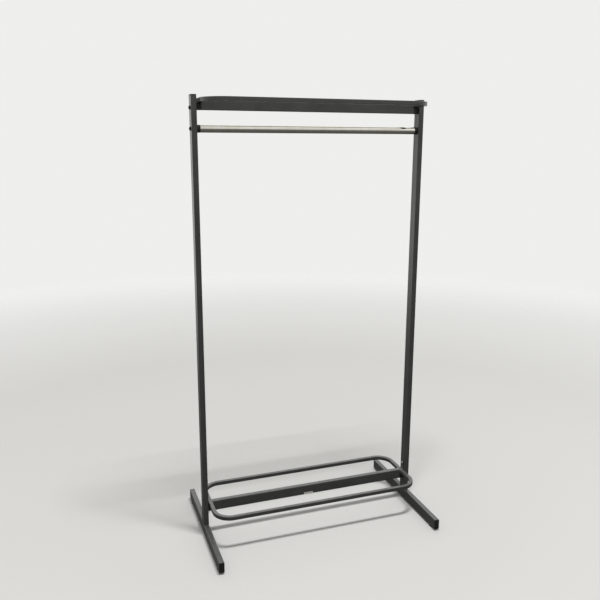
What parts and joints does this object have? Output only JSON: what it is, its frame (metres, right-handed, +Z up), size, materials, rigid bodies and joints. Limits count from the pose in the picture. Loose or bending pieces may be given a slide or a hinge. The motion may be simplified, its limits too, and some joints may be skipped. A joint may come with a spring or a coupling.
{
  "type": "coat and hanger rack",
  "caption": "Free-standing goalpost rack of flat tube: a chromed hanger bar between two posts, with an open shelf frame above and near the floor, on levelling feet.",
  "frame": {"origin": "on the floor, under the middle of the rack", "axes": "+X along the hanger bar to the right, -Y to the front, +Z up"},
  "size_m": [0.9112, 0.57, 1.68],
  "materials": {
    "grey_paint": "satin dark grey powder coat with a fine orange-peel texture",
    "black_plastic": "matte moulded black plastic",
    "bar_chrome": "bright chrome plate",
    "black_steel": "black oxide steel, semi-gloss",
    "zinc": "bright zinc plate",
    "brass_insert": "machined brass"
  },
  "bodies": {
    "rack": {"left_post": "grey_paint", "right_post": "grey_paint", "left_foot": "grey_paint", "right_foot": "grey_paint", "top_rail": "grey_paint", "top_loop": "grey_paint", "bottom_rail": "grey_paint", "bottom_loop": "grey_paint", "bottom_tab_left": "grey_paint", "bottom_tab_right": "grey_paint", "left_post_cap": "black_plastic", "right_post_cap": "black_plastic", "left_foot_front_cap": "black_plastic", "left_foot_back_cap": "black_plastic", "right_foot_front_cap": "black_plastic", "right_foot_back_cap": "black_plastic", "top_plug_left": "black_plastic", "top_plug_right": "black_plastic", "bottom_plug_left": "black_plastic", "bottom_plug_right": "black_plastic", "bar_socket_left": "black_plastic", "bar_socket_right": "black_plastic", "hanger_bar": "bar_chrome", "top_bolt_left": "black_steel", "top_bolt_right": "black_steel", "bar_bolt_left": "black_steel", "bar_bolt_right": "black_steel", "left_foot_bolt_front": "black_steel", "left_foot_bolt_back": "black_steel", "right_foot_bolt_front": "black_steel", "right_foot_bolt_back": "black_steel", "top_insert_left": "brass_insert", "top_insert_right": "brass_insert", "bar_insert_left": "brass_insert", "bar_insert_right": "brass_insert", "left_base_plug": "zinc", "right_base_plug": "zinc", "bottom_screw_left": "zinc", "bottom_screw_right": "zinc", "bottom_rivet_nut_left": "zinc", "bottom_rivet_nut_right": "zinc", "left_front_adjuster_insert": "zinc", "left_back_adjuster_insert": "zinc", "right_front_adjuster_insert": "zinc", "right_back_adjuster_insert": "zinc"},
    "left_front_adjuster": {"left_front_adjuster_pad": "black_plastic", "left_front_adjuster_stud": "zinc"},
    "left_back_adjuster": {"left_back_adjuster_pad": "black_plastic", "left_back_adjuster_stud": "zinc"},
    "right_front_adjuster": {"right_front_adjuster_pad": "black_plastic", "right_front_adjuster_stud": "zinc"},
    "right_back_adjuster": {"right_back_adjuster_pad": "black_plastic", "right_back_adjuster_stud": "zinc"}
  },
  "joints": [
    {"name": "left_front_adjust", "type": "slide", "parent": "rack", "child": "left_front_adjuster", "axis": [0, 0, -1], "range_m": [0, 0.01]},
    {"name": "left_back_adjust", "type": "slide", "parent": "rack", "child": "left_back_adjuster", "axis": [0, 0, -1], "range_m": [0, 0.01]},
    {"name": "right_front_adjust", "type": "slide", "parent": "rack", "child": "right_front_adjuster", "axis": [0, 0, -1], "range_m": [0, 0.01]},
    {"name": "right_back_adjust", "type": "slide", "parent": "rack", "child": "right_back_adjuster", "axis": [0, 0, -1], "range_m": [0, 0.01]}
  ]
}
